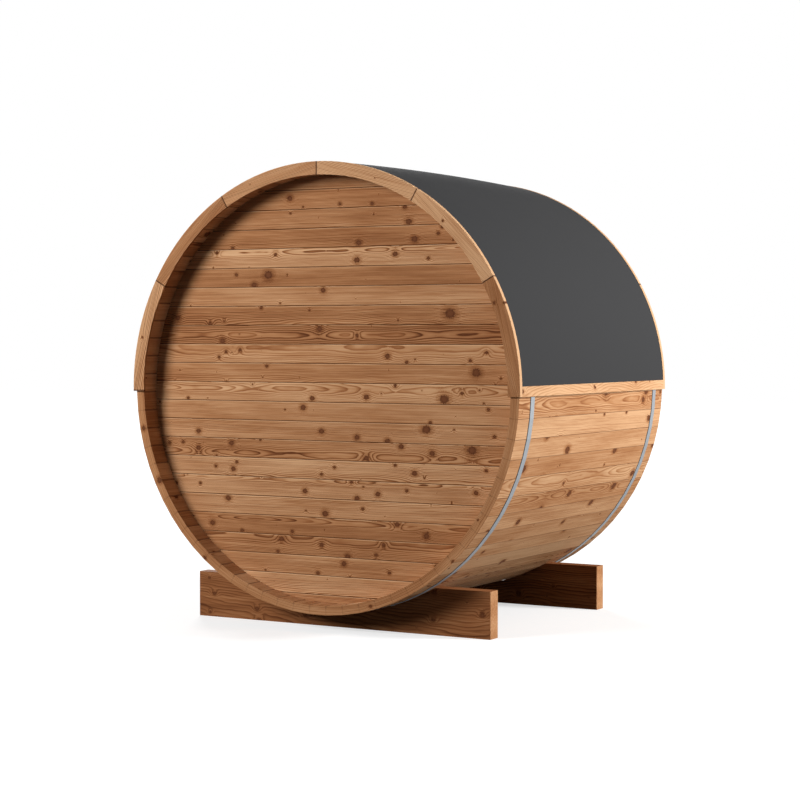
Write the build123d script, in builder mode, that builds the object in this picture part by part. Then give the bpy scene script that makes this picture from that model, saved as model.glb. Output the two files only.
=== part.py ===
# Barrel sauna: a round timber cabin that lies on its side in two cradles.
# Millimetres. X runs across the barrel, Y along it and Z up. The origin is on the ground,
# under the middle of the barrel. The rear end, a plain boarded wall, faces -Y.

from build123d import *
from math import asin, ceil, cos, degrees, floor, radians, sin, sqrt, tan
import os

# Barrel of staves. The radius is measured to the corners, where two staves meet.
outer_radius = 1020.0
stave_count = 71
stave_length = 1565.0
stave_thickness = 42.0
stave_gap = 0.3
staves_in_a_group = 6

# Bead along one edge of a stave, and the cove along the other that takes the next bead.
bead_width = 20.0
bead_height = 2.0

# Groove inside the staves near each end, which holds the end wall.
recess_depth = 98.0
wall_thickness = 42.0
groove_depth = 10.0
groove_clearance = 0.5

# Horizontal boards of the end walls, with a tongue on top and a groove underneath.
board_cover = 88.3
board_gap = 0.5
board_chamfer = 2.0
board_line_above_axis = 205.5
tongue_thickness = 12.0
tongue_height = 8.0
tongue_clearance = 0.6

# Timber arch over the upper half of each end, with a lip that laps over the staves.
fascia_pieces = 6
fascia_inside_staves = 7.0
fascia_outside_staves = 10.0
fascia_front = 12.0
fascia_lip = 9.0
fascia_gap = 1.0
fascia_drop = 17.0
seat_clearance = 0.3

# Batten along each eave, and the roofing sheet with its underlay between the arches.
# The sheet's height is measured above the staves' corners.
batten_height = 45.0
roof_height_at_ends = 8.5
roof_height_at_middle = 20.0
roof_spans = 4

# Steel hoops round the staves, over the end walls.
hoop_width = 40.0
hoop_thickness = 1.0
rear_hoop_from_end = 127.0
front_hoop_from_end = 103.0

# Cradle beams.
cradle_length = 1575.0
cradle_height = 213.0
cradle_thickness = 75.0
cradle_from_end = 181.0
cradle_chamfer = 3.0
ground_clearance = 77.5

# Doorway in the front end wall. It starts and stops on joints between the boards.
doorway_width = 780.0
doorway_corner_margin = 35.0
frame_width = 42.0
frame_depth = 70.0
frame_gap = 0.3

# Boarded door, closed, with ledges across its inner side.
door_clearance = 3.0
door_board_count = 8
door_board_thickness = 28.0
door_board_gap = 0.6
door_set_back = 4.0
ledge_height = 90.0
ledge_thickness = 28.0
ledge_end_inset = 30.0
ledge_from_door_end = 150.0

# Hinges and pull handle.
hinge_height = 90.0
hinge_leaf_width = 38.0
hinge_leaf_thickness = 3.0
hinge_knuckle_radius = 7.0
handle_height = 320.0
handle_width = 34.0
handle_grip_thickness = 24.0
handle_stand_off = 38.0
handle_foot_height = 45.0
handle_from_door_edge = 75.0

os.makedirs("parts", exist_ok=True)

# Heights and radii that follow from the sizes above.
axis_height = outer_radius + ground_clearance
pitch = 360.0 / stave_count
half_pitch = radians(pitch / 2)
outer_apothem = outer_radius * cos(half_pitch)
inner_apothem = outer_apothem - stave_thickness
hoop_inner_apothem = outer_apothem + seat_clearance
hoop_outer_apothem = hoop_inner_apothem + hoop_thickness
cover_inner_apothem = hoop_outer_apothem + seat_clearance
wall_apothem = inner_apothem + groove_depth - groove_clearance
wall_radius = wall_apothem / cos(half_pitch)
fascia_inner_radius = inner_apothem - fascia_inside_staves
fascia_outer_radius = outer_radius + fascia_outside_staves
rear_end_y = -stave_length / 2
wall_outer_y = rear_end_y + recess_depth

# A joint between staves stands at the top of the barrel, so a corner of each polygon does too.
top_corner = 90.0

# Positive turns about the barrel's axis go from +X up to +Z.
barrel_axis = Axis((0, 0, axis_height), (0, -1, 0))
section_plane = Plane(origin=(0, 0, axis_height), x_dir=(1, 0, 0), z_dir=(0, -1, 0))


def section_at(y):
    """Plane across the barrel at a distance y along it, with its normal towards the rear."""
    return section_plane.offset(-y)


def save(piece, name):
    piece.label = name
    export_step(piece, f"parts/{name}.step")


# One stave, drawn at the top of the barrel with its outer face up.
def side_point(across, depth, side):
    """Point beside a joint: depth below the outer face, across from the joint line."""
    v = outer_apothem - depth
    u = v * tan(half_pitch) - across / cos(half_pitch)
    return (side * u, v)


def edge_profile(side, bulge_radius, line_offset):
    """Points down one long edge: top, start, crown and end of the curve, bottom."""
    arc_radius = ((bead_width / 2) ** 2 + bead_height**2) / (2 * bead_height)
    centre_from_line = arc_radius - bead_height
    middle_depth = stave_thickness / 2
    chord = sqrt(bulge_radius(arc_radius) ** 2 - line_offset(centre_from_line) ** 2)
    crown = bulge_radius(arc_radius) - line_offset(centre_from_line)
    return [
        side_point(stave_gap / 2, 0, side),
        side_point(stave_gap / 2, middle_depth - chord, side),
        side_point(stave_gap / 2 - side * crown, middle_depth, side),
        side_point(stave_gap / 2, middle_depth + chord, side),
        side_point(stave_gap / 2, stave_thickness, side),
    ]


bead_edge = edge_profile(1, lambda r: r - stave_gap / 2, lambda c: c - stave_gap / 2)
cove_edge = edge_profile(-1, lambda r: r + stave_gap / 2, lambda c: c + stave_gap / 2)

with BuildPart() as stave:
    with BuildSketch(section_at(-rear_end_y)):
        with BuildLine():
            Line(cove_edge[0], bead_edge[0])
            Line(bead_edge[0], bead_edge[1])
            ThreePointArc(bead_edge[1], bead_edge[2], bead_edge[3])
            Line(bead_edge[3], bead_edge[4])
            Line(bead_edge[4], cove_edge[4])
            Line(cove_edge[4], cove_edge[3])
            ThreePointArc(cove_edge[3], cove_edge[2], cove_edge[1])
            Line(cove_edge[1], cove_edge[0])
        make_face()
    extrude(amount=stave_length)
    # Groove across the inner face near each end.
    groove_width = wall_thickness + 2 * groove_clearance
    groove_middle = stave_length / 2 - recess_depth - wall_thickness / 2
    with BuildSketch(Plane.XY.offset(axis_height + inner_apothem)):
        with Locations((0, -groove_middle), (0, groove_middle)):
            Rectangle(2 * stave_thickness + bead_width * stave_count, groove_width)
    extrude(amount=groove_depth, mode=Mode.SUBTRACT)

group_count = ceil(stave_count / staves_in_a_group)
for group in range(group_count):
    first = group * staves_in_a_group
    last = min(first + staves_in_a_group, stave_count)
    with BuildPart() as staves:
        for number in range(first, last):
            # Stave 0 is the middle one at the bottom of the barrel.
            add(stave.part.rotate(barrel_axis, 180 + number * pitch))
    save(staves.part, f"staves_{group + 1:02d}")


# End walls of horizontal boards that stand in the grooves.
def board_line(number):
    """Height above the axis of a joint between boards, counted down from line 0."""
    return board_line_above_axis - number * board_cover


first_line = -ceil((wall_radius - board_line_above_axis) / board_cover) + 1
last_line = ceil((wall_radius + board_line_above_axis) / board_cover) - 1


def board_outline(top, bottom, depth):
    """One board's section from outside to inside, tongue up, between two joint lines."""
    high = top - board_gap / 2
    low = bottom + board_gap / 2
    tongue_front = (depth - tongue_thickness) / 2
    tongue_back = (depth + tongue_thickness) / 2
    slot_front = tongue_front - tongue_clearance
    slot_back = tongue_back + tongue_clearance
    slot_top = low + tongue_height + tongue_clearance
    return [
        (board_chamfer, low),
        (slot_front, low),
        (slot_front, slot_top),
        (slot_back, slot_top),
        (slot_back, low),
        (depth, low),
        (depth, high),
        (tongue_back, high),
        (tongue_back, high + tongue_height),
        (tongue_front, high + tongue_height),
        (tongue_front, high),
        (board_chamfer, high),
        (0, high - board_chamfer),
        (0, low + board_chamfer),
    ]


def boarded_wall(name, facing, first, last, left, right):
    """Boards from row first to row last, between two distances left and right of the middle.

    Facing is -1 for a wall with its face to the rear and 1 for one with its face to the front.
    """
    start = left if facing < 0 else right
    outline_plane = Plane(
        origin=(start, facing * -wall_outer_y, axis_height),
        x_dir=(0, -facing, 0),
        z_dir=(-facing, 0, 0),
    )
    wall_middle = section_at(facing * (-wall_outer_y - wall_thickness / 2))
    with BuildPart() as wall:
        with BuildSketch(outline_plane):
            for row in range(first, last + 1):
                outline = board_outline(board_line(row), board_line(row + 1), wall_thickness)
                with BuildLine():
                    Polyline(*outline, close=True)
                make_face()
        extrude(amount=right - left)
        with BuildSketch(wall_middle):
            RegularPolygon(wall_apothem, stave_count, major_radius=False, rotation=top_corner)
        extrude(amount=wall_thickness, both=True, mode=Mode.INTERSECT)
        if facing > 0:
            with BuildSketch(wall_middle):
                with Locations((0, doorway_middle)):
                    Rectangle(doorway_width, doorway_height)
            extrude(amount=wall_thickness, both=True, mode=Mode.SUBTRACT)
    save(wall.part, name)


# The doorway is as tall as the joints between boards allow inside the round of the staves.
doorway_side = doorway_width / 2
corner_height = sqrt(inner_apothem**2 - doorway_side**2) - doorway_corner_margin
line_at_top = -floor((corner_height - board_line_above_axis) / board_cover)
line_at_bottom = floor((corner_height + board_line_above_axis) / board_cover)
doorway_top = board_line(line_at_top)
doorway_bottom = board_line(line_at_bottom)
doorway_height = doorway_top - doorway_bottom
doorway_middle = (doorway_top + doorway_bottom) / 2

top_row = first_line - 1
bottom_row = last_line
row_over_door = line_at_top - 1
row_under_door = line_at_bottom
boarded_wall("rear_wall", -1, top_row, bottom_row, -wall_radius, wall_radius)
boarded_wall("front_wall_over_door", 1, top_row, row_over_door, -wall_radius, wall_radius)
boarded_wall("front_wall_under_door", 1, row_under_door, bottom_row, -wall_radius, wall_radius)
boarded_wall(
    "front_wall_left", 1, row_over_door + 1, row_under_door - 1, -wall_radius, -doorway_side
)
boarded_wall(
    "front_wall_right", 1, row_over_door + 1, row_under_door - 1, doorway_side, wall_radius
)

# Door frame: two full-height posts with a head and a sill between them.
front_wall_middle_y = -wall_outer_y - wall_thickness / 2
frame_plane = section_at(front_wall_middle_y)
frame_outer_width = doorway_width - 2 * frame_gap
frame_outer_height = doorway_height - 2 * frame_gap
clear_width = frame_outer_width - 2 * frame_width
clear_height = frame_outer_height - 2 * frame_width

with BuildPart() as door_frame:
    with BuildSketch(frame_plane):
        post_x = (frame_outer_width - frame_width) / 2
        with Locations((-post_x, doorway_middle), (post_x, doorway_middle)):
            Rectangle(frame_width, frame_outer_height)
        rail_z = (frame_outer_height - frame_width) / 2
        with Locations((0, doorway_middle - rail_z), (0, doorway_middle + rail_z)):
            Rectangle(clear_width - 2 * frame_gap, frame_width)
    extrude(amount=frame_depth / 2, both=True)
save(door_frame.part, "door_frame")

# Door leaf: upright boards with ledges screwed across them on the inside.
door_width = clear_width - 2 * door_clearance
door_height = clear_height - 2 * door_clearance
door_outer_y = front_wall_middle_y + frame_depth / 2 - door_set_back
door_board_width = (door_width - (door_board_count - 1) * door_board_gap) / door_board_count

with BuildPart() as door_boards:
    with BuildSketch(section_at(door_outer_y)):
        with Locations((0, doorway_middle)):
            with GridLocations(door_board_width + door_board_gap, 0, door_board_count, 1):
                Rectangle(door_board_width, door_height)
    extrude(amount=door_board_thickness)
    outer_face = door_boards.faces().group_by(Axis.Y)[-1]
    chamfer(outer_face.edges().filter_by(Axis.Z), board_chamfer)
save(door_boards.part, "door_boards")

ledge_y = door_outer_y - door_board_thickness - seat_clearance
ledge_z = door_height / 2 - ledge_from_door_end
with BuildPart() as door_ledges:
    with BuildSketch(section_at(ledge_y)):
        with Locations((0, doorway_middle)):
            with GridLocations(0, ledge_z, 1, 3):
                Rectangle(door_width - 2 * ledge_end_inset, ledge_height)
    extrude(amount=ledge_thickness)
    inner_face = door_ledges.faces().group_by(Axis.Y)[0]
    chamfer(inner_face.edges(), board_chamfer)
save(door_ledges.part, "door_ledges")

# Butt hinges: a leaf on the post, a leaf on the door and a knuckle between them.
hinge_x = clear_width / 2 - door_clearance / 2
post_face_y = front_wall_middle_y + frame_depth / 2 + seat_clearance
door_face_y = door_outer_y + seat_clearance
knuckle_y = post_face_y + hinge_knuckle_radius
with BuildPart() as door_hinges:
    for height in (doorway_middle - ledge_z, doorway_middle, doorway_middle + ledge_z):
        knuckle_bottom = axis_height + height - hinge_height / 2
        with BuildSketch(Plane.XY.offset(knuckle_bottom)):
            with Locations((hinge_x, knuckle_y)):
                Circle(hinge_knuckle_radius)
            with Locations((hinge_x, post_face_y)):
                Rectangle(hinge_leaf_width, hinge_leaf_thickness, align=(Align.MIN, Align.MIN))
            with Locations((hinge_x, door_face_y)):
                Rectangle(
                    hinge_leaf_width,
                    hinge_leaf_thickness + door_set_back,
                    align=(Align.MAX, Align.MIN),
                )
        extrude(amount=hinge_height)
save(door_hinges.part, "door_hinges")

# Pull handle: a timber grip on two feet, near the door's free edge.
handle_x = -door_width / 2 + handle_from_door_edge
handle_foot_y = door_outer_y + seat_clearance
grip_y = handle_foot_y + handle_stand_off
foot_spacing = handle_height - handle_foot_height
with BuildPart() as door_handle:
    with BuildSketch(section_at(handle_foot_y)):
        with Locations((handle_x, doorway_middle)):
            with GridLocations(0, foot_spacing, 1, 2):
                Rectangle(handle_width, handle_foot_height)
    extrude(amount=-handle_stand_off)
    with BuildSketch(section_at(grip_y)):
        with Locations((handle_x, doorway_middle)):
            Rectangle(handle_width, handle_height)
    extrude(amount=-handle_grip_thickness)
    grip_face = door_handle.faces().sort_by(Axis.Y)[-1]
    chamfer(grip_face.edges(), handle_grip_thickness / 4)
save(door_handle.part, "door_handle")

# Timber arches. Each piece has a flange in front of the staves' ends and a lip over them.
arch_drop_angle = degrees(asin(fascia_drop / fascia_inner_radius))
arch_piece_angle = (180 + 2 * arch_drop_angle) / fascia_pieces
gap_angle = degrees(fascia_gap / fascia_outer_radius)
arch_profile = [
    (fascia_inner_radius, -fascia_front),
    (fascia_outer_radius, -fascia_front),
    (fascia_outer_radius, fascia_lip),
    (outer_radius + seat_clearance, fascia_lip),
    (outer_radius + seat_clearance, -seat_clearance),
    (fascia_inner_radius, -seat_clearance),
]
level_cut = Plane.XY.offset(axis_height - fascia_drop)

with BuildPart() as rear_fascia:
    for number in range(fascia_pieces):
        start = -arch_drop_angle + number * arch_piece_angle + gap_angle / 2
        sweep = arch_piece_angle - gap_angle
        # The two lowest pieces run on past their end, where they are sawn off level.
        if number == 0:
            start -= arch_drop_angle
            sweep += arch_drop_angle
        if number == fascia_pieces - 1:
            sweep += arch_drop_angle
        turn = radians(start)
        radial_plane = Plane(
            origin=(0, rear_end_y, axis_height),
            x_dir=(cos(turn), 0, sin(turn)),
            z_dir=(-sin(turn), 0, cos(turn)),
        )
        with BuildSketch(radial_plane):
            with BuildLine():
                Polyline(*arch_profile, close=True)
            make_face()
        revolve(axis=barrel_axis, revolution_arc=sweep)
    split(bisect_by=level_cut, keep=Keep.TOP)
save(rear_fascia.part, "rear_fascia")
save(mirror(rear_fascia.part, about=Plane.XZ), "front_fascia")

# Eave battens between the arches, cut to the polygon of the staves behind them.
covered_length = stave_length - 2 * (fascia_lip + seat_clearance)
batten_middle = batten_height / 2 - fascia_drop
batten_width = fascia_outer_radius - cover_inner_apothem * cos(2 * half_pitch)

for side, name in ((1, "eave_batten_right"), (-1, "eave_batten_left")):
    with BuildPart() as batten:
        with BuildSketch(section_at(0)):
            with Locations((side * fascia_outer_radius, batten_middle)):
                outward = Align.MAX if side > 0 else Align.MIN
                Rectangle(batten_width + stave_thickness, batten_height, align=(outward, Align.CENTER))
            RegularPolygon(
                cover_inner_apothem, stave_count, major_radius=False, rotation=top_corner, mode=Mode.SUBTRACT
            )
        extrude(amount=covered_length / 2, both=True)
    save(batten.part, name)

# Roofing sheet with the soft underlay beneath it. Its edges are flush with the battens and
# its crown is fuller at the middle of its length.
roof_edge = batten_height - fascia_drop + seat_clearance
roof_end_radius = outer_radius + roof_height_at_ends
roof_middle_radius = outer_radius + roof_height_at_middle
eave_x = sqrt(roof_end_radius**2 - roof_edge**2)
with BuildPart() as roof_cover:
    for station in range(roof_spans + 1):
        along = 2 * station / roof_spans - 1
        crown_radius = roof_middle_radius - (roof_middle_radius - roof_end_radius) * along**2
        with BuildSketch(section_at(along * covered_length / 2)):
            with BuildLine():
                ThreePointArc((-eave_x, roof_edge), (0, crown_radius), (eave_x, roof_edge))
                Line((eave_x, roof_edge), (-eave_x, roof_edge))
            make_face()
    loft(ruled=True)
    with BuildSketch(section_at(0)):
        RegularPolygon(cover_inner_apothem, stave_count, major_radius=False, rotation=top_corner)
    extrude(amount=stave_length, both=True, mode=Mode.SUBTRACT)
save(roof_cover.part, "roof_cover")

# Hoops of flat steel, bent at each joint between staves as they are drawn tight.
for middle_y, name in (
    (rear_end_y + rear_hoop_from_end, "rear_hoop"),
    (-rear_end_y - front_hoop_from_end, "front_hoop"),
):
    with BuildPart() as hoop:
        with BuildSketch(section_at(middle_y)):
            RegularPolygon(hoop_outer_apothem, stave_count, major_radius=False, rotation=top_corner)
            RegularPolygon(
                hoop_inner_apothem, stave_count, major_radius=False, rotation=top_corner, mode=Mode.SUBTRACT
            )
        extrude(amount=hoop_width / 2, both=True)
    save(hoop.part, name)

# Cradle beams with a round seat that takes the bottom of the barrel.
cradle_y = stave_length / 2 - cradle_from_end - cradle_thickness / 2
for middle_y, name in ((-cradle_y, "rear_cradle"), (cradle_y, "front_cradle")):
    with BuildPart() as cradle:
        with BuildSketch(section_at(middle_y)):
            with Locations((0, -axis_height)):
                Rectangle(cradle_length, cradle_height, align=(Align.CENTER, Align.MIN))
        extrude(amount=cradle_thickness / 2, both=True)
        chamfer(cradle.edges().filter_by(Axis.Z), cradle_chamfer)
        with BuildSketch(section_at(middle_y)):
            Circle(outer_radius + seat_clearance)
        extrude(amount=cradle_thickness, both=True, mode=Mode.SUBTRACT)
    save(cradle.part, name)
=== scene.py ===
"""Barrel sauna: finishes, roofing sheet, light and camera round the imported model."""

import bpy
import math
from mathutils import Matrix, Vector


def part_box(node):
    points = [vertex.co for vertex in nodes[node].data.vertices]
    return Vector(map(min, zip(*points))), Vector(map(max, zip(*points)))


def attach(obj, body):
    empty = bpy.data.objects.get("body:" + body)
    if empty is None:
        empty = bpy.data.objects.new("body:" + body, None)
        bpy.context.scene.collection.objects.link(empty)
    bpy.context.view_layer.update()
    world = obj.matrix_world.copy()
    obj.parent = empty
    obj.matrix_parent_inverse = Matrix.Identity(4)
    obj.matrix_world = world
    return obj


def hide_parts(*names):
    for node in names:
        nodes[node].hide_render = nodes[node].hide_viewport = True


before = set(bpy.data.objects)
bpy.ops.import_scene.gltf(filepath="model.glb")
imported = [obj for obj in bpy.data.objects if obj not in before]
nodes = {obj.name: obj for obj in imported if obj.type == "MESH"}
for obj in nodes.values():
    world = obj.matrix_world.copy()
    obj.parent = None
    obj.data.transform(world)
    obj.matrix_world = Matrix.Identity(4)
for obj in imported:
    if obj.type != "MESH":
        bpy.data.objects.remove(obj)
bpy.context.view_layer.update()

# Cradle beams: two planed beams of heat-treated softwood that lie on the ground, each with a
# round seat sawn out for the barrel. Their grain runs across the barrel.
# The timber's colours and its grain, made here, serve every wooden piece of the sauna.
axis_height = 1.0975
cradle_half_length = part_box("rear_cradle")[1].x
cradle_end_skin = 0.001
cradle_pith_below_axis = 1.08
# Painted light and shade: the planed sides are toned darker, as if shaded, and the sawn ends paler, as if
# lit.
cradle_side_painted_shade = 0.18
cradle_end_painted_light = -0.16
timber_tones = (
    (0.00, (0.700, 0.415, 0.225)),
    (0.35, (0.470, 0.222, 0.097)),
    (0.65, (0.300, 0.115, 0.043)),
    (1.00, (0.120, 0.038, 0.013)),
)
knot_colour = (0.125, 0.038, 0.014)
knot_heart_colour = (0.210, 0.078, 0.030)
knot_rim_colour = (0.050, 0.013, 0.005)
joint_colour = (0.070, 0.026, 0.012)
# In radii of a knot.
far_from_knots = 9.0


def step(tree, kind, inputs=None, output=0, **settings):
    """Adds one node, sets or links its inputs, and returns one of its outputs."""
    made = tree.nodes.new("ShaderNode" + kind)
    for name, value in settings.items():
        setattr(made, name, value)
    for name, value in (inputs or {}).items():
        if isinstance(value, bpy.types.NodeSocket):
            tree.links.new(value, made.inputs[name])
        else:
            made.inputs[name].default_value = value
    return made.outputs[output] if made.outputs else made


def work_out(tree, operation, *values, clamp=False):
    """One sum on one to three numbers or sockets."""
    return step(tree, "Math", dict(enumerate(values)), operation=operation, use_clamp=clamp)


def centred(tree, share):
    """Moves a number of 0 to 1 down by a half, so that its middle is 0."""
    return work_out(tree, "SUBTRACT", share, 0.5)


def either(tree, test, if_so, if_not):
    """Takes the first value where the test is 1, and the second where it is 0."""
    otherwise = work_out(tree, "MULTIPLY", if_not, work_out(tree, "SUBTRACT", 1.0, test))
    return work_out(tree, "MULTIPLY_ADD", if_so, test, otherwise)


def fade(tree, value, start, end, low=0.0, high=1.0):
    """Goes smoothly from low, where value is start, to high, where it is end."""
    spans = {"Value": value, "From Min": start, "From Max": end, "To Min": low, "To Max": high}
    return step(tree, "MapRange", spans, interpolation_type="SMOOTHSTEP")


def place(tree, x, y, z):
    """Joins three numbers or sockets into one vector."""
    return step(tree, "CombineXYZ", {"X": x, "Y": y, "Z": z})


def distance_off_axis(tree, x, y):
    """How far a place lies from a lengthwise axis, from its two distances off it."""
    return step(tree, "VectorMath", {0: place(tree, x, y, 0.0)}, 1, operation="LENGTH")


def blend(tree, amount, first, second):
    """Mixes two colours."""
    made = tree.nodes.new("ShaderNodeMix")
    made.data_type = "RGBA"
    for socket, value in ((0, amount), (6, first), (7, second)):
        if isinstance(value, bpy.types.NodeSocket):
            tree.links.new(value, made.inputs[socket])
        elif socket == 0:
            made.inputs[socket].default_value = value
        else:
            made.inputs[socket].default_value = (*value, 1.0)
    return made.outputs[2]


def ramp(tree, value, stops):
    """Looks a number up on a scale of greys or colours."""
    made = tree.nodes.new("ShaderNodeValToRGB")
    tree.links.new(value, made.inputs[0])
    scale = made.color_ramp
    while len(scale.elements) < len(stops):
        scale.elements.new(1.0)
    for element, (position, colour) in zip(scale.elements, stops):
        element.position = position
        element.color = (*colour, 1.0) if isinstance(colour, tuple) else (colour, colour, colour, 1.0)
    return made.outputs[0]


def board_numbers(tree, board):
    """Six random numbers from 0 to 1 that differ from board to board.

    Each kind of piece counts its boards from a number of its own, so that no two are alike.
    """
    numbers = []
    for shift in (0.0, 0.37):
        seed = work_out(tree, "ADD", board, shift)
        noise = step(tree, "TexWhiteNoise", {"W": seed}, 1, noise_dimensions="1D")
        numbers += [step(tree, "SeparateColor", {0: noise}, i) for i in range(3)]
    return numbers


def drawn_out_noise(tree, spot, along_scale, cross_scale, board_shift, **texture):
    """A noise drawn out along a board, with 0 in its middle. The shift parts board from board."""
    along, across, deep, board = spot
    shift = work_out(tree, "MULTIPLY", board, board_shift)
    at = place(
        tree,
        work_out(tree, "MULTIPLY", along, along_scale),
        work_out(tree, "MULTIPLY", across, cross_scale),
        work_out(tree, "MULTIPLY_ADD", deep, cross_scale, shift),
    )
    return centred(tree, step(tree, "TexNoise", {"Vector": at, "Scale": 1.0, **texture}))


def scattered_knots(tree, spot, size):
    """Knots at random, one in each cell and most of them small: how many radii off the nearest is."""
    cell_length, cell_width = 0.24, 0.085
    largest_radius, smallest_radius = 0.020, 0.0004
    longer_along = 0.8
    rarity = 2.6
    along, across, _, board = spot
    along_shift = work_out(tree, "MULTIPLY", board, 5.31)
    across_shift = work_out(tree, "MULTIPLY", board, 3.17)
    at = place(
        tree,
        work_out(tree, "MULTIPLY_ADD", along, 1 / cell_length, along_shift),
        work_out(tree, "MULTIPLY_ADD", across, 1 / cell_width, across_shift),
        0.0,
    )
    cells = {"Vector": at, "Scale": 1.0, "Randomness": 1.0}
    middle = step(tree, "TexVoronoi", cells, 2, voronoi_dimensions="2D")
    chance = step(tree, "TexVoronoi", cells, 1, voronoi_dimensions="2D")
    offset = step(tree, "VectorMath", {0: middle, 1: at}, operation="SUBTRACT")
    cell_size = (cell_length * longer_along, cell_width, 0.0)
    offset = step(tree, "VectorMath", {0: offset, 1: cell_size}, operation="MULTIPLY")
    away = step(tree, "VectorMath", {0: offset}, 1, operation="LENGTH")
    share = work_out(tree, "POWER", step(tree, "SeparateColor", {0: chance}), rarity)
    radius = work_out(tree, "MULTIPLY", work_out(tree, "MULTIPLY", share, largest_radius), size)
    return work_out(tree, "DIVIDE", away, work_out(tree, "MAXIMUM", radius, smallest_radius))


def distance_from_pith(tree, spot, pith_side, pith_depth, pith_lean, near_knot):
    """The pith runs behind the board's face, leans and wanders. Knots push the rings off it."""
    side_spread, depth_spread, least_depth = 0.30, 0.055, 0.012
    lean_spread, wander_spread, wander_scale = 0.045, 0.035, 1.7
    ripple_height = 0.010
    knot_reach, knot_push = 2.6, 0.010
    along, across, deep, board = spot
    pith_across = work_out(tree, "MULTIPLY", centred(tree, pith_side), side_spread)
    pith_deep = work_out(tree, "MULTIPLY_ADD", pith_depth, -depth_spread, -least_depth)
    lean = work_out(tree, "MULTIPLY", centred(tree, pith_lean), lean_spread)
    wander_at = place(tree, work_out(tree, "MULTIPLY", along, wander_scale), board, 0.0)
    wander = step(
        tree, "TexNoise", {"Vector": wander_at, "Scale": 1.0, "Detail": 1.0}, noise_dimensions="2D"
    )
    pith_deep = work_out(tree, "MULTIPLY_ADD", along, lean, pith_deep)
    pith_deep = work_out(tree, "MULTIPLY_ADD", centred(tree, wander), wander_spread, pith_deep)
    sideways = work_out(tree, "SUBTRACT", across, pith_across)
    inwards = work_out(tree, "SUBTRACT", deep, pith_deep)
    distance = distance_off_axis(tree, sideways, inwards)
    ripple = drawn_out_noise(tree, spot, along_scale=4.5, cross_scale=15.0, board_shift=1.0, Detail=2.0)
    distance = work_out(tree, "MULTIPLY_ADD", ripple, ripple_height, distance)
    push = work_out(tree, "DIVIDE", near_knot, knot_reach)
    push = work_out(tree, "MULTIPLY", work_out(tree, "MULTIPLY", push, push), -1.0)
    push = work_out(tree, "EXPONENT", push)
    return work_out(tree, "MULTIPLY_ADD", push, knot_push, distance)


def growth_rings(tree, from_pith, spacing, contrast):
    """Pale early wood that darkens slowly into late wood, then starts afresh."""
    least_width, width_spread = 0.0036, 0.0022
    least_year, year_spread = 0.45, 0.75
    least_contrast, contrast_spread = 0.46, 0.36
    one_year = ((0.0, 0.10), (0.16, 0.0), (0.50, 0.12), (0.80, 0.75), (0.92, 1.0), (1.0, 0.10))
    width = work_out(tree, "MULTIPLY_ADD", spacing, width_spread, least_width)
    count = work_out(tree, "DIVIDE", from_pith, width)
    ring = ramp(tree, work_out(tree, "FRACT", count), one_year)
    year = step(tree, "TexWhiteNoise", {"W": work_out(tree, "FLOOR", count)}, noise_dimensions="1D")
    year = work_out(tree, "MULTIPLY_ADD", year, year_spread, least_year)
    contrast = work_out(tree, "MULTIPLY_ADD", contrast, contrast_spread, least_contrast)
    return work_out(tree, "MULTIPLY", work_out(tree, "MULTIPLY", ring, year), contrast)


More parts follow.
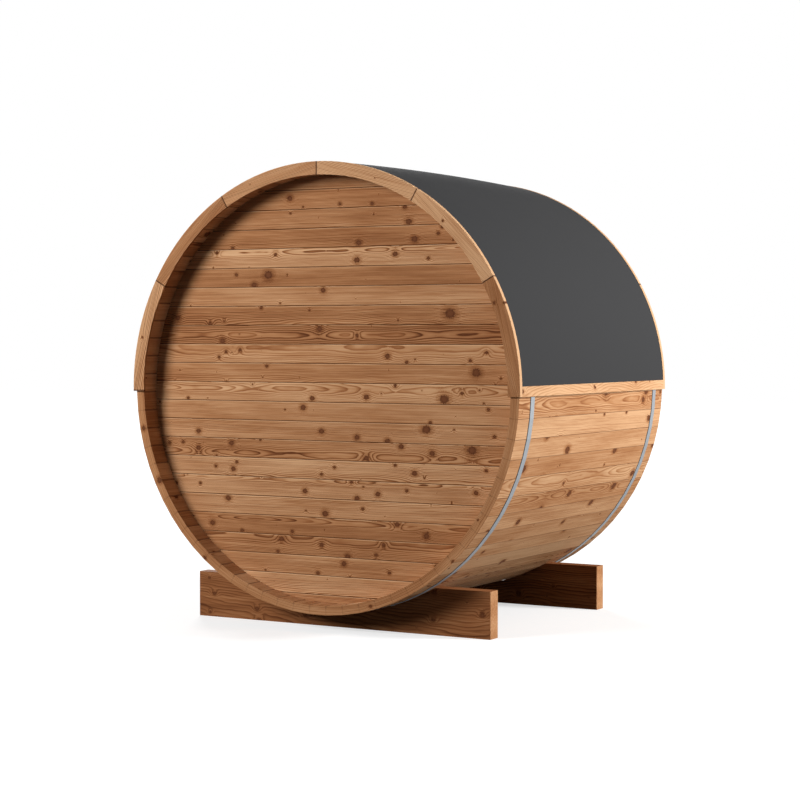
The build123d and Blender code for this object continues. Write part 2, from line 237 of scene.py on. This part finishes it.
def grown_timber():
    """Solid softwood as one node group: growth rings, knots that push them aside, and fibres."""
    tree = bpy.data.node_groups.new("grown timber", "ShaderNodeTree")
    face = tree.interface
    for name, value in (
        ("Along", 0.0), ("Across", 0.0), ("Deep", 0.0), ("Board", 0.0), ("Marked Knot", far_from_knots),
        ("Knots", 1.0), ("Tone", 0.0), ("Joint", 0.0), ("Figure", 1.0),
    ):
        face.new_socket(name, in_out="INPUT", socket_type="NodeSocketFloat").default_value = value
    face.new_socket("Colour", in_out="OUTPUT", socket_type="NodeSocketColor")
    face.new_socket("Roughness", in_out="OUTPUT", socket_type="NodeSocketFloat")
    face.new_socket("Height", in_out="OUTPUT", socket_type="NodeSocketFloat")
    given = tree.nodes.new("NodeGroupInput").outputs
    result = tree.nodes.new("NodeGroupOutput").inputs
    spot = along, across, deep, board = [given[name] for name in ("Along", "Across", "Deep", "Board")]
    pith_side, pith_depth, pith_lean, tone, contrast, spacing = board_numbers(tree, board)

    # A knot's outline is uneven, as if torn.
    torn = {"Vector": place(tree, along, across, board), "Scale": 160.0, "Detail": 1.0}
    rough_edge = step(tree, "TexNoise", torn)
    near_knot = scattered_knots(tree, spot, given["Knots"])
    near_knot = work_out(tree, "MINIMUM", near_knot, given["Marked Knot"])
    near_knot = work_out(tree, "MULTIPLY_ADD", centred(tree, rough_edge), 0.9, near_knot)

    from_pith = distance_from_pith(tree, spot, pith_side, pith_depth, pith_lean, near_knot)
    ring = work_out(tree, "MULTIPLY", growth_rings(tree, from_pith, spacing, contrast), given["Figure"])

    # Fine fibres, longer streaks, and broad clouds of darker wood that ignore the depth.
    fibre = drawn_out_noise(
        tree, spot, along_scale=8.0, cross_scale=330.0, board_shift=1.0, Detail=3.0, Roughness=0.65
    )
    streak = drawn_out_noise(tree, spot, along_scale=3.0, cross_scale=110.0, board_shift=2.3, Detail=2.0)
    face_spot = (along, across, 0.0, board)
    cloud = drawn_out_noise(
        tree, face_spot, along_scale=2.2, cross_scale=15.0, board_shift=1.7, Detail=3.0
    )

    # How far along the timber's tones the wood is here, from pale to dark.
    middle_tone, board_spread = 0.25, 0.36
    depth = work_out(tree, "MULTIPLY_ADD", centred(tree, tone), board_spread, middle_tone)
    depth = work_out(tree, "ADD", depth, given["Tone"])
    depth = work_out(tree, "ADD", depth, ring)
    for noise, strength in ((fibre, 0.42), (cloud, 0.55), (streak, 0.42)):
        depth = work_out(tree, "MULTIPLY_ADD", noise, strength, depth)
    halo_starts, halo_full, halo_dark = 2.3, 0.8, 0.26
    halo = fade(tree, near_knot, halo_starts, halo_full, 0.0, halo_dark)
    depth = work_out(tree, "ADD", depth, halo, clamp=True)
    colour = ramp(tree, depth, timber_tones)

    # A knot has a mottled heart in a dark rim. Its places are in radii from its middle.
    knot_starts, knot_full = 1.15, 0.65
    rim_starts, rim_full, rim_share = 0.45, 0.80, 0.7
    inside_knot = fade(tree, near_knot, knot_starts, knot_full)
    rim = work_out(tree, "MULTIPLY", fade(tree, near_knot, rim_starts, rim_full), inside_knot)
    rim = work_out(tree, "MULTIPLY", rim, rim_share)
    heart = work_out(tree, "MULTIPLY_ADD", rough_edge, 0.9, -0.1, clamp=True)
    knot_tint = blend(tree, heart, knot_colour, knot_heart_colour)
    knot_tint = blend(tree, rim, knot_tint, knot_rim_colour)
    colour = blend(tree, inside_knot, colour, knot_tint)
    colour = blend(tree, given["Joint"], colour, joint_colour)
    tree.links.new(colour, result["Colour"])

    # Late wood and knots are smoother than early wood, and late wood stands a little proud.
    early_roughness, late_smoother, knot_smoother = 0.80, 0.20, 0.12
    roughness = work_out(tree, "MULTIPLY_ADD", ring, -late_smoother, early_roughness)
    roughness = work_out(tree, "MULTIPLY_ADD", inside_knot, -knot_smoother, roughness)
    tree.links.new(roughness, result["Roughness"])
    late_proud, fibre_proud, rim_sunk = 0.9, 0.8, 0.5
    height = work_out(tree, "MULTIPLY_ADD", ring, late_proud, work_out(tree, "MULTIPLY", fibre, fibre_proud))
    height = work_out(tree, "MULTIPLY_ADD", rim, -rim_sunk, height)
    tree.links.new(height, result["Height"])
    return tree


timber_grain = grown_timber()


def timber(name, lay, knots=1.0, tone=0.0, figure=1.0):
    """A wooden finish. lay says which way the boards run at a place on the object."""
    finish = bpy.data.materials.new(name)
    finish.use_nodes = True
    tree = finish.node_tree
    tree.nodes.clear()
    where = step(tree, "TexCoord", output=3)
    x, y, z = (step(tree, "SeparateXYZ", {0: where}, i) for i in range(3))
    laid = lay(tree, x, y, work_out(tree, "SUBTRACT", z, axis_height))
    grain = tree.nodes.new("ShaderNodeGroup")
    grain.node_tree = timber_grain
    laid.setdefault("Tone", tone)
    laid.setdefault("Knots", knots)
    laid.setdefault("Figure", figure)
    for socket, value in laid.items():
        if isinstance(value, bpy.types.NodeSocket):
            tree.links.new(value, grain.inputs[socket])
        else:
            grain.inputs[socket].default_value = value
    bump = step(tree, "Bump", {"Strength": 0.35, "Distance": 0.0012, "Height": grain.outputs["Height"]})
    surface = step(
        tree,
        "BsdfPrincipled",
        {
            "Base Color": grain.outputs["Colour"],
            "Roughness": grain.outputs["Roughness"],
            "Normal": bump,
            "Specular IOR Level": 0.05,
        },
    )
    step(tree, "OutputMaterial", {"Surface": surface})
    return finish


def give(finish, *names):
    """Puts a finish on CAD nodes."""
    for name in names:
        mesh = nodes[name].data
        mesh.materials.clear()
        mesh.materials.append(finish)


def lay_cradle(tree, x, y, z):
    """Grain along the beam. The sawn ends get a paler tone as painted light, and the planed sides a darker
    one as painted shade.
    """
    end_starts = cradle_half_length - cradle_end_skin
    sawn_end = work_out(tree, "GREATER_THAN", work_out(tree, "ABSOLUTE", x), end_starts)
    return {
        "Along": x,
        "Across": work_out(tree, "ADD", z, cradle_pith_below_axis),
        "Deep": y,
        "Board": work_out(tree, "SIGN", y),
        # Painted light on the sawn ends, painted shade on the planed sides.
        "Tone": either(tree, sawn_end, cradle_end_painted_light, cradle_side_painted_shade),
    }


give(timber("cradle timber", lay_cradle, knots=0.7, figure=0.55), "rear_cradle", "front_cradle")

# Barrel: 71 staves of the same softwood, planed, with a bead on one edge that turns in the
# cove of the next. Each has its own tone, and the sawn ends are sanded round into one ring.
stave_count = 71
stave_outer_radius = 1.019
stave_pitch = 2 * math.pi / stave_count
stave_half_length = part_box("staves_01")[1].y
stave_end_skin = 0.0003
stave_inside_depth = 0.030
inside_easing = 0.0022
easing_starts, easing_full, easing_dark = 0.0024, 0.0006, 0.55
joint_left_at_ends = 0.45
end_pith_depth = 0.14
first_stave = 40.0


def go_round(tree, x, z, pitch, start, count):
    """Splits a ring into equal pieces: along the tangent, outwards, and the piece's number."""
    turn = work_out(tree, "SUBTRACT", work_out(tree, "ARCTAN2", z, x), start)
    pieces = work_out(tree, "WRAP", work_out(tree, "DIVIDE", turn, pitch), count, 0.0)
    number = work_out(tree, "FLOOR", pieces)
    off_middle = centred(tree, work_out(tree, "SUBTRACT", pieces, number))
    off_middle = work_out(tree, "MULTIPLY", off_middle, pitch)
    radius = distance_off_axis(tree, x, z)
    tangent = work_out(tree, "MULTIPLY", radius, work_out(tree, "SINE", off_middle))
    outwards = work_out(tree, "MULTIPLY", radius, work_out(tree, "COSINE", off_middle))
    return tangent, outwards, number


def from_piece_joint(tree, tangent, outwards, pitch):
    """How far a place on a ring of pieces lies from the nearest joint between them."""
    half_width = work_out(tree, "MULTIPLY", outwards, math.tan(pitch / 2))
    return work_out(tree, "SUBTRACT", half_width, work_out(tree, "ABSOLUTE", tangent))


def lay_stave(tree, x, y, z):
    """Grain along each stave. The sanded ends have one grain that runs round the ring."""
    tangent, outwards, number = go_round(tree, x, z, stave_pitch, math.pi / 2, stave_count)
    deep = work_out(tree, "SUBTRACT", outwards, stave_outer_radius)
    # The long edges are eased, which shows as a fine dark line, wider on the inside.
    inside = work_out(tree, "LESS_THAN", deep, -stave_inside_depth)
    from_joint = from_piece_joint(tree, tangent, outwards, stave_pitch)
    from_joint = work_out(tree, "MULTIPLY_ADD", inside, -inside_easing, from_joint)
    edge = fade(tree, from_joint, easing_starts, easing_full, 0.0, easing_dark)
    end_starts = stave_half_length - stave_end_skin
    sawn_end = work_out(tree, "GREATER_THAN", work_out(tree, "ABSOLUTE", y), end_starts)
    round_ring = work_out(tree, "ARCTAN2", z, x)
    across_ring = work_out(tree, "ADD", deep, end_pith_depth)
    return {
        "Along": either(tree, sawn_end, round_ring, y),
        "Across": either(tree, sawn_end, across_ring, tangent),
        "Deep": either(tree, sawn_end, 0.0, deep),
        "Board": either(tree, sawn_end, 0.0, work_out(tree, "ADD", number, first_stave)),
        "Joint": work_out(tree, "MULTIPLY", edge, either(tree, sawn_end, joint_left_at_ends, 1.0)),
    }


staves = [name for name in nodes if name.startswith("staves_")]
give(timber("stave timber", lay_stave, knots=1.1, tone=-0.11, figure=0.75), *staves)

# End walls: horizontal tongue-and-groove boards with a small chamfer along each joint, in
# the grooves of the staves. The rear wall's larger knots are marked board by board.
board_cover = 0.0883
board_line_above_axis = 0.2055
wall_face = -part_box("rear_wall")[0].y
wall_tone = 0.02
# The pale band along the top of each board is a painted highlight.
lip_starts, lip_full, lip_highlight_tone = 0.0050, 0.0030, -0.24
groove_starts, groove_full, groove_dark = 0.0042, 0.0022, 0.85
first_rear_board, front_boards_later = 200.0, 50.0
centimetre, millimetre = 0.01, 0.001
knot_longer_along = 0.85
knot_with_rim = 1.5

# For each board: centimetres right of the middle, millimetres above the board's middle and
# the knot's radius in millimetres. Board 0 hangs under the joint 205.5 mm above the axis.
# A knot is drawn larger than its radius, to hold its rim, and longer along the board.
rear_wall_knots = {
    -8: ((-21, 9, 8), (6, -25, 5), (23, -30, 5)),
    -7: ((42, -28, 9), (40, 39, 6)),
    -6: ((-53, -36, 5), (59, 33, 5), (57, 6, 5), (45, -17, 9), (16, -27, 8)),
    -5: ((-62, 33, 5), (-29, 17, 5), (35, 7, 8), (15, -16, 9), (52, -15, 5)),
    -4: ((-51, 16, 5), (-33, 13, 13), (-41, -33, 8)),
    -3: ((-3, 27, 8),),
    -2: ((-85, -7, 8), (-66, -36, 5), (63, 5, 15), (-37, 38, 5)),
    -1: ((-5, 26, 8), (-59, -28, 8), (15, -2, 5)),
    0: ((-57, 8, 5), (-49, 18, 5), (-61, -16, 5), (31, -8, 8), (41, -34, 5), (81, 10, 5), (73, -25, 5)),
    1: ((76, 11, 13), (-34, 32, 5)),
    2: ((-79, -34, 5), (-9, -26, 8), (20, -17, 8), (60, -20, 14), (69, 7, 5), (35, 37, 5)),
    3: ((-14, 20, 9), (82, 27, 5), (53, -35, 5)),
    4: ((51, 21, 13), (-73, -14, 8), (-4, 1, 8), (15, -22, 8), (31, -36, 8), (85, -2, 5)),
    5: (
        (-90, 13, 5), (-82, 19, 5), (-73, -6, 8), (-54, 22, 8),
        (38, 31, 8), (54, 4, 8), (74, 23, 13), (20, -27, 8),
    ),
    6: (
        (-51, 22, 5), (-63, -1, 5), (-53, -11, 8), (3, 15, 5),
        (35, 34, 5), (45, 1, 8), (81, 25, 5), (-4, -19, 5),
    ),
    7: (
        (-86, 0, 5), (-72, 4, 5), (-13, -11, 8), (15, -35, 8),
        (12, 38, 5), (26, -11, 8), (41, 10, 5), (76, 14, 7),
    ),
    8: ((-56, 28, 9), (-2, -23, 10), (18, 8, 5)),
    9: ((-65, -5, 8), (-48, -33, 5), (-20, -25, 5), (36, 33, 7), (51, -11, 8)),
    10: ((-26, 26, 8), (-28, -33, 5), (-4, 10, 7), (10, -38, 8), (25, -22, 5), (29, 28, 5)),
    11: ((8, 18, 8), (-6, -32, 6), (32, -10, 5), (56, 34, 5)),
}


def lay_wall(tree, x, y, z):
    """Grain along each board. The front wall's boards are others than the rear wall's."""
    below = work_out(tree, "SUBTRACT", board_line_above_axis, z)
    rows = work_out(tree, "DIVIDE", below, board_cover)
    row = work_out(tree, "FLOOR", rows)
    across = centred(tree, work_out(tree, "SUBTRACT", rows, row))
    across = work_out(tree, "MULTIPLY", across, -board_cover)
    front = work_out(tree, "GREATER_THAN", y, 0.0)
    rear_board = work_out(tree, "ADD", row, first_rear_board)
    # A painted highlight runs along a board's top, as if its chamfer caught the light, and a dark joint line
    # runs along its foot.
    top = board_cover / 2
    painted_lip_highlight = fade(tree, across, top - lip_starts, top - lip_full, 0.0, lip_highlight_tone)
    return {
        "Along": x,
        "Across": across,
        "Deep": work_out(tree, "SUBTRACT", work_out(tree, "ABSOLUTE", y), wall_face),
        "Board": work_out(tree, "MULTIPLY_ADD", front, front_boards_later, rear_board),
        "Tone": work_out(tree, "ADD", painted_lip_highlight, wall_tone),
        "Joint": fade(tree, across, groove_starts - top, groove_full - top, 0.0, groove_dark),
    }


def lay_rear_wall(tree, x, y, z):
    """The same boards, with the marked knots."""
    laid = lay_wall(tree, x, y, z)
    # Boards are a metre apart here, so that a knot stays in its own board.
    along = work_out(tree, "MULTIPLY", x, knot_longer_along)
    spot = place(tree, along, work_out(tree, "ADD", laid["Board"], laid["Across"]), 0.0)
    nearest = far_from_knots
    for row, knots in rear_wall_knots.items():
        for right, up, radius in knots:
            knot_along = right * centimetre * knot_longer_along
            knot_middle = (knot_along, first_rear_board + row + up * millimetre, 0.0)
            away = step(tree, "VectorMath", {0: spot, 1: knot_middle}, 1, operation="DISTANCE")
            radii_away = work_out(tree, "DIVIDE", away, radius * knot_with_rim * millimetre)
            nearest = work_out(tree, "MINIMUM", radii_away, nearest)
    laid["Marked Knot"] = nearest
    return laid


give(timber("rear wall timber", lay_rear_wall, knots=0.25), "rear_wall")
front_wall = [name for name in nodes if name.startswith("front_wall_")]
give(timber("front wall timber", lay_wall), *front_wall)

# Door: upright boards between chamfered joints, with ledges screwed across them inside, in a
# frame of planed posts. All of it is the same softwood, with a pull handle of the same.
door_board_pitch = 0.0862
door_face = 0.694
post_inner_edge = 0.3475
ledges_per_metre = 1.6
first_door_board, first_frame_piece, first_ledge, handle_piece = 320.0, 350.0, 380.0, 391.0


def lay_upright(tree, x, y, z):
    """Grain up each board of the door."""
    columns = work_out(tree, "DIVIDE", x, door_board_pitch)
    column = work_out(tree, "FLOOR", columns)
    across = centred(tree, work_out(tree, "SUBTRACT", columns, column))
    return {
        "Along": z,
        "Across": work_out(tree, "MULTIPLY", across, door_board_pitch),
        "Deep": work_out(tree, "SUBTRACT", y, door_face),
        "Board": work_out(tree, "ADD", column, first_door_board),
    }


def lay_frame(tree, x, y, z):
    """Grain up the posts and across the rails. Each of the four is shaded as two halves."""
    post = work_out(tree, "GREATER_THAN", work_out(tree, "ABSOLUTE", x), post_inner_edge)
    rail = work_out(tree, "SUBTRACT", 1.0, post)
    # The steps of 3 and 7 give each half of a post or rail a number of its own.
    number = work_out(tree, "MULTIPLY", work_out(tree, "SIGN", z), 3.0)
    number = work_out(tree, "ADD", work_out(tree, "SIGN", x), number)
    number = work_out(tree, "MULTIPLY_ADD", rail, 7.0, number)
    return {
        "Along": either(tree, post, z, x),
        "Across": either(tree, post, x, z),
        "Deep": y,
        "Board": work_out(tree, "ADD", number, first_frame_piece),
    }


def lay_ledge(tree, x, y, z):
    """Grain along each ledge."""
    ledge = work_out(tree, "ROUND", work_out(tree, "MULTIPLY", z, ledges_per_metre))
    return {"Along": x, "Across": z, "Deep": y, "Board": work_out(tree, "ADD", ledge, first_ledge)}


def lay_handle(tree, x, y, z):
    """Grain up the handle."""
    return {"Along": z, "Across": x, "Deep": y, "Board": handle_piece}


give(timber("door board timber", lay_upright, tone=0.02), "door_boards")
give(timber("door frame timber", lay_frame, knots=0.5), "door_frame")
give(timber("ledge timber", lay_ledge, knots=0.5), "door_ledges")
give(timber("handle timber", lay_handle, knots=0.0, tone=-0.08), "door_handle")

# Hinges and hoops: galvanised steel. The hoops are flat band, drawn tight round the staves
# over the end walls, with a dull grey coat of zinc in faint spangles.
hinge_colour = (0.26, 0.27, 0.28)
band_colour = (0.30, 0.32, 0.34)
band_edge_shade_colour = (0.020, 0.020, 0.022)
zinc_roughness = 0.55
worn_zinc_share = 0.55
spangle_scale, spangle_shade, spangle_gloss = 90.0, 0.10, 0.14
wear_scale, wear_shade = 14.0, 0.35
# Where the painted shade along a band's edge starts and where it is full.
band_edge_starts, band_edge_full = 0.0055, 0.0040


def galvanised(name, colour, roughness, edge_shade=None):
    """A coat of zinc. The last argument says where a band's edge gets a line of painted shade."""
    finish = bpy.data.materials.new(name)
    finish.use_nodes = True
    tree = finish.node_tree
    tree.nodes.clear()
    where = step(tree, "TexCoord", output=3)
    spangle = step(tree, "TexVoronoi", {"Vector": where, "Scale": spangle_scale}, 1)
    spangle = step(tree, "SeparateColor", {0: spangle})
    wear = step(tree, "TexNoise", {"Vector": where, "Scale": wear_scale, "Detail": 4.0})
    wear = work_out(tree, "MULTIPLY", wear, wear_shade)
    shade = work_out(tree, "MULTIPLY_ADD", spangle, spangle_shade, wear)
    worn_colour = tuple(part * worn_zinc_share for part in colour)
    tint = blend(tree, shade, colour, worn_colour)
    # A band's edge can get a dark line of painted shade.
    if edge_shade:
        y = step(tree, "SeparateXYZ", {0: where}, 1)
        tint = blend(tree, edge_shade(tree, y), tint, band_edge_shade_colour)
    gloss = work_out(tree, "MULTIPLY_ADD", spangle, spangle_gloss, roughness)
    surface = step(tree, "BsdfPrincipled", {"Base Color": tint, "Roughness": gloss, "Metallic": 0.6})
    step(tree, "OutputMaterial", {"Surface": surface})
    return finish


def band_edge_shade(tree, y):
    """A dark line of painted shade along the edge of each band that faces the rear end."""
    edges = []
    for name in ("rear_hoop", "front_hoop"):
        from_edge = work_out(tree, "ABSOLUTE", work_out(tree, "SUBTRACT", y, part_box(name)[0].y))
        edges.append(fade(tree, from_edge, band_edge_starts, band_edge_full))
    return work_out(tree, "MAXIMUM", *edges)


give(galvanised("galvanised hinge", hinge_colour, zinc_roughness), "door_hinges")
give(galvanised("galvanised band", band_colour, zinc_roughness, band_edge_shade), "rear_hoop", "front_hoop")

# Arches: six curved pieces round the upper half of each end, sawn from planed boards and
# butted end to end, so the grain of each piece is straight. A lip laps over the staves.
arch_pieces = 6
arch_inner_radius = 0.97
arch_foot_below_axis = 0.017
arch_foot_turn = arch_foot_below_axis / arch_inner_radius
arch_pitch = (math.pi + 2 * arch_foot_turn) / arch_pieces
arch_joint_shift = 0.004
arch_rim_radius = 1.0285
arch_pith_radius = 0.84
arch_face = 0.79
arch_tone, arch_figure = -0.09, 1.3
# The rim's paler tone is a painted highlight. Its weaker figure is the cut grain.
arch_rim_painted_highlight, arch_rim_figure = -0.54, 0.2
arch_joint_starts, arch_joint_full, arch_joint_dark = 0.0040, 0.0016, 0.95
first_arch_piece, front_arch_later = 420.0, 9.0


def lay_arch(tree, x, y, z):
    """Straight grain in each curved piece. Its outer rim is cut across, so plainer, and is painted paler as
    a highlight.
    """
    start = -arch_foot_turn - arch_joint_shift
    tangent, outwards, number = go_round(tree, x, z, arch_pitch, start, 2 * math.pi / arch_pitch)
    from_joint = from_piece_joint(tree, tangent, outwards, arch_pitch)
    rim = work_out(tree, "GREATER_THAN", distance_off_axis(tree, x, z), arch_rim_radius)
    front = work_out(tree, "GREATER_THAN", y, 0.0)
    number = work_out(tree, "MULTIPLY_ADD", front, front_arch_later, number)
    return {
        "Along": tangent,
        "Across": work_out(tree, "SUBTRACT", outwards, arch_pith_radius),
        "Deep": work_out(tree, "SUBTRACT", work_out(tree, "ABSOLUTE", y), arch_face),
        "Board": work_out(tree, "ADD", number, first_arch_piece),
        "Tone": either(tree, rim, arch_rim_painted_highlight, arch_tone),
        "Figure": either(tree, rim, arch_rim_figure, arch_figure),
        "Joint": fade(tree, from_joint, arch_joint_starts, arch_joint_full, 0.0, arch_joint_dark),
    }


give(timber("arch timber", lay_arch, knots=0.45), "rear_fascia", "front_fascia")

# Battens: one along each eave, planed, which closes the lower edge of the roofing sheet.
# They lie flush with the arches at both ends.
batten_pith_below_axis = 0.15
middle_batten = 451.0


def lay_batten(tree, x, y, z):
    """Grain along the batten. The left and the right one differ."""
    return {
        "Along": y,
        "Across": work_out(tree, "ADD", z, batten_pith_below_axis),
        "Deep": x,
        "Board": work_out(tree, "ADD", work_out(tree, "SIGN", x), middle_batten),
    }


batten_finish = timber("batten timber", lay_batten, knots=0.6, tone=-0.12, figure=0.4)
give(batten_finish, "eave_batten_right", "eave_batten_left")

# Roofing sheet: one piece of thin dark grey rubbery sheet over a soft underlay, laid over the
# crown from eave to eave between the arches. It is a little fuller at the middle.
sheet_low, sheet_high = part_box("roof_cover")
sheet_end_radius = 1.0285
sheet_thickness = 0.006
sheet_length = sheet_high.y - sheet_low.y
eave_height = sheet_low.z
eave_turn = math.asin((eave_height - axis_height) / sheet_end_radius)
eave_reach = sheet_end_radius * math.cos(eave_turn)
end_crown_height = axis_height + sheet_end_radius
crown_rise = sheet_high.z - end_crown_height
arc_steps = 120
length_steps = 24
sheet_colour = (0.038, 0.038, 0.039)
sheet_bloom_colour = (0.048, 0.048, 0.049)
bloom_share, grit_share = 0.65, 0.35
least_roughness, most_roughness = 0.86, 0.92

# One edge of a plane, a metre square, is kept. It is laid along the right eave.
bpy.ops.object.select_all(action="DESELECT")
bpy.ops.mesh.primitive_plane_add(size=1.0, location=(0.0, 0.0, 0.0))
roofing = bpy.context.object
roofing.name = "roofing_sheet"
bpy.ops.object.mode_set(mode="EDIT")
bpy.ops.mesh.delete(type="ONLY_FACE")
bpy.ops.object.mode_set(mode="OBJECT")
mesh = roofing.data
for edge in mesh.edges:
    edge.select = False
for vertex in mesh.vertices:
    vertex.select = vertex.co.x < 0
bpy.ops.object.mode_set(mode="EDIT")
bpy.ops.mesh.delete(type="VERT")
bpy.ops.mesh.select_all(action="SELECT")
bpy.ops.transform.resize(value=(1.0, sheet_length, 1.0), center_override=(0.5, 0.0, 0.0))
bpy.ops.transform.translate(value=(eave_reach - 0.5, (sheet_low.y + sheet_high.y) / 2, eave_height))

# It is spun over the crown to the left eave, and the middle of the sheet is made fuller.
bpy.ops.mesh.subdivide(number_cuts=length_steps - 1)
bpy.ops.mesh.spin(
    steps=arc_steps,
    angle=math.pi - 2 * eave_turn,
    center=(0.0, 0.0, axis_height),
    axis=(0.0, 1.0, 0.0),
)
bpy.ops.object.mode_set(mode="OBJECT")
for vertex in mesh.vertices:
    towards_end = vertex.co.y / (sheet_length / 2)
    up_the_arc = (vertex.co.z - eave_height) / (end_crown_height - eave_height)
    vertex.co.z += crown_rise * (1 - towards_end**2) * up_the_arc
bpy.ops.object.mode_set(mode="EDIT")
bpy.ops.mesh.select_all(action="SELECT")
bpy.ops.mesh.normals_make_consistent(inside=False)
bpy.ops.object.mode_set(mode="OBJECT")
crown_face = mesh.polygons[len(mesh.polygons) // 2]
if crown_face.normal.z < 0:
    mesh.flip_normals()
thick = roofing.modifiers.new("thickness", "SOLIDIFY")
thick.thickness = sheet_thickness
thick.offset = -1.0
bpy.ops.object.modifier_apply(modifier="thickness")
bpy.ops.object.shade_smooth_by_angle(angle=math.radians(30))


def roofing_finish():
    """Matt grey sheet with a faint bloom and fine grit."""
    finish = bpy.data.materials.new("grey roofing sheet")
    finish.use_nodes = True
    tree = finish.node_tree
    tree.nodes.clear()
    where = step(tree, "TexCoord", output=3)
    bloom = step(tree, "TexNoise", {"Vector": where, "Scale": 2.3, "Detail": 5.0, "Roughness": 0.6})
    grit = step(tree, "TexNoise", {"Vector": where, "Scale": 700.0, "Detail": 2.0})
    shade = work_out(tree, "MULTIPLY", bloom, bloom_share)
    shade = work_out(tree, "MULTIPLY_ADD", grit, grit_share, shade)
    tint = blend(tree, shade, sheet_colour, sheet_bloom_colour)
    gloss = fade(tree, bloom, 0.3, 0.7, least_roughness, most_roughness)
    bump = step(tree, "Bump", {"Strength": 0.25, "Distance": 0.0006, "Height": grit})
    surface = step(
        tree,
        "BsdfPrincipled",
        {"Base Color": tint, "Roughness": gloss, "Normal": bump, "Specular IOR Level": 0.08},
    )
    step(tree, "OutputMaterial", {"Surface": surface})
    return finish


roofing.data.materials.clear()
roofing.data.materials.append(roofing_finish())
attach(roofing, "root")
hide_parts("roof_cover")

# Floor and background: a plain white floor that shows the sauna's soft shadow, and a plain
# white background, also where metal reflects it.
floor_size = 60.0
plain_white = (1.0, 1.0, 1.0, 1.0)
paint_white = (0.95, 0.95, 0.95, 1.0)
bounce_grey = (0.06, 0.06, 0.06, 1.0)
glow_strength = 1.25
glow_share_near = 0.50
shadow_reach, plain_from = 2.0, 5.0
room_strength = 0.10


def seen_rays(tree):
    """1 for rays from the camera, and for those that metal or glass sends on, and 0 for others."""
    path = tree.nodes.new("ShaderNodeLightPath").outputs
    seen = work_out(tree, "MAXIMUM", path["Is Camera Ray"], path["Is Glossy Ray"])
    return work_out(tree, "MAXIMUM", seen, path["Is Transmission Ray"])


bpy.ops.object.select_all(action="DESELECT")
bpy.ops.mesh.primitive_plane_add(size=floor_size, location=(0.0, 0.0, 0.0))
floor = bpy.context.object
floor.name = "floor"
floor_finish = bpy.data.materials.new("white floor")
floor_finish.use_nodes = True
tree = floor_finish.node_tree
tree.nodes.clear()
paint = step(tree, "BsdfDiffuse", {"Color": paint_white})
# To all other rays the floor is dark, so that it throws little light up on the sauna.
dim_paint = step(tree, "BsdfDiffuse", {"Color": bounce_grey})
glow = step(tree, "Emission", {"Color": plain_white, "Strength": glow_strength})
# The lamps' light and the shadow count near the sauna. Further off the floor is plain white.
from_sauna = step(tree, "VectorMath", {0: step(tree, "TexCoord", output=3)}, 1, operation="LENGTH")
glow_share = fade(tree, from_sauna, shadow_reach, plain_from, glow_share_near, 1.0)
lit_floor = step(tree, "MixShader", {0: glow_share, 1: paint, 2: glow})
floor_surface = step(tree, "MixShader", {0: seen_rays(tree), 1: dim_paint, 2: lit_floor})
step(tree, "OutputMaterial", {"Surface": floor_surface})
floor.data.materials.append(floor_finish)

world = bpy.data.worlds.new("studio")
bpy.context.scene.world = world
world.use_nodes = True
tree = world.node_tree
tree.nodes.clear()
room = step(tree, "Background", {"Color": plain_white, "Strength": room_strength})
white = step(tree, "Background", {"Color": plain_white, "Strength": 1.0})
step(tree, "OutputWorld", {"Surface": step(tree, "MixShader", {0: seen_rays(tree), 1: room, 2: white})})

# Lamps: three large soft squares, in front on the left, on the right, and behind on the left.
# They face the middle of the barrel.
barrel_middle = (sheet_low + sheet_high) / 2
barrel_middle.z = axis_height


def lamp(name, place_at, size, power):
    """A square soft lamp that faces the middle of the barrel."""
    light = bpy.data.lights.new(name, "AREA")
    light.size = size
    light.energy = power
    holder = bpy.data.objects.new(name, light)
    bpy.context.scene.collection.objects.link(holder)
    holder.location = place_at
    direction = barrel_middle - holder.location
    holder.rotation_euler = direction.to_track_quat("-Z", "Y").to_euler()


lamp("front lamp", place_at=(-4.0, -7.0, 3.8), size=3.2, power=610)
lamp("right lamp", place_at=(8.0, 2.5, 3.4), size=2.0, power=930)
lamp("back lamp", place_at=(-5.5, 6.5, 3.6), size=2.4, power=620)

# Camera: the photograph's own view, from the right of the rear end and a little above the
# axis, worked out from the joints between the boards and from the cradles.
camera = bpy.data.cameras.new("camera")
camera.lens = 89.98
camera.sensor_width = 36.0
camera.clip_end = 100.0
viewer = bpy.data.objects.new("camera", camera)
bpy.context.scene.collection.objects.link(viewer)
viewer.location = (4.854, -8.404, 1.3364)
viewer.rotation_euler = (math.radians(88.1995), 0.0, math.radians(30.1235))
bpy.context.scene.camera = viewer
bpy.context.scene.view_settings.view_transform = "Standard"
